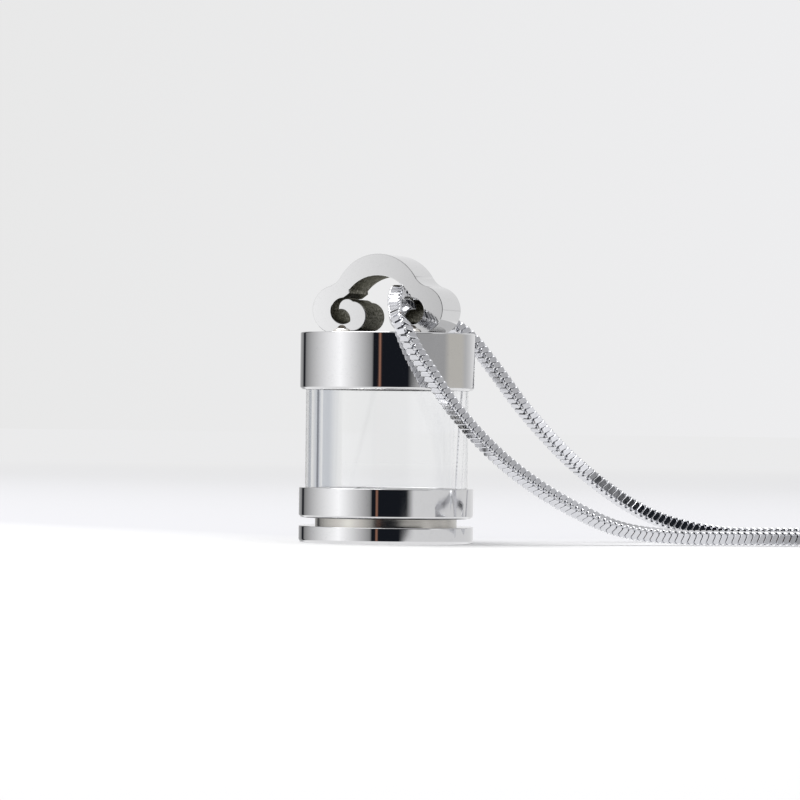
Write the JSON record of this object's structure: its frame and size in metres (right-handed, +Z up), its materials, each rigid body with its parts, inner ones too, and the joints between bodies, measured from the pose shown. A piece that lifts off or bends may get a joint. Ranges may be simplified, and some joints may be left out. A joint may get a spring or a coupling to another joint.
{
  "type": "keepsake urn pendant",
  "caption": "Small glass and steel ash urn pendant with a cloud-shaped bail, an unscrewing foot plug and a closed square snake chain",
  "frame": {"origin": "on the urn's axis, in the plane of the plug's underside, which rests on the surface", "axes": "+Z up along the urn's axis, -Y towards the viewer of the picture, +X to the viewer's right, where the chain leads away"},
  "size_m": [0.1865, 0.1241, 0.0264],
  "materials": {
    "polished_steel": "mirror-polished stainless steel",
    "clear_glass": "clear polished glass",
    "plug_steel": "mirror-polished disc with a finely turned neck",
    "chain_steel": "bright polished steel links",
    "clasp_steel": "plain satin steel"
  },
  "bodies": {
    "plug": {"screw_plug": "plug_steel"},
    "urn": {"bail_cap": "polished_steel", "glass_tube": "clear_glass", "bottom_collar": "polished_steel", "snake_chain": "chain_steel", "barrel_clasp": "clasp_steel"}
  },
  "joints": [
    {"name": "unscrew", "type": "slide", "parent": "plug", "child": "urn", "axis": [0, 0, 1], "range_m": [0, 0.008]}
  ]
}
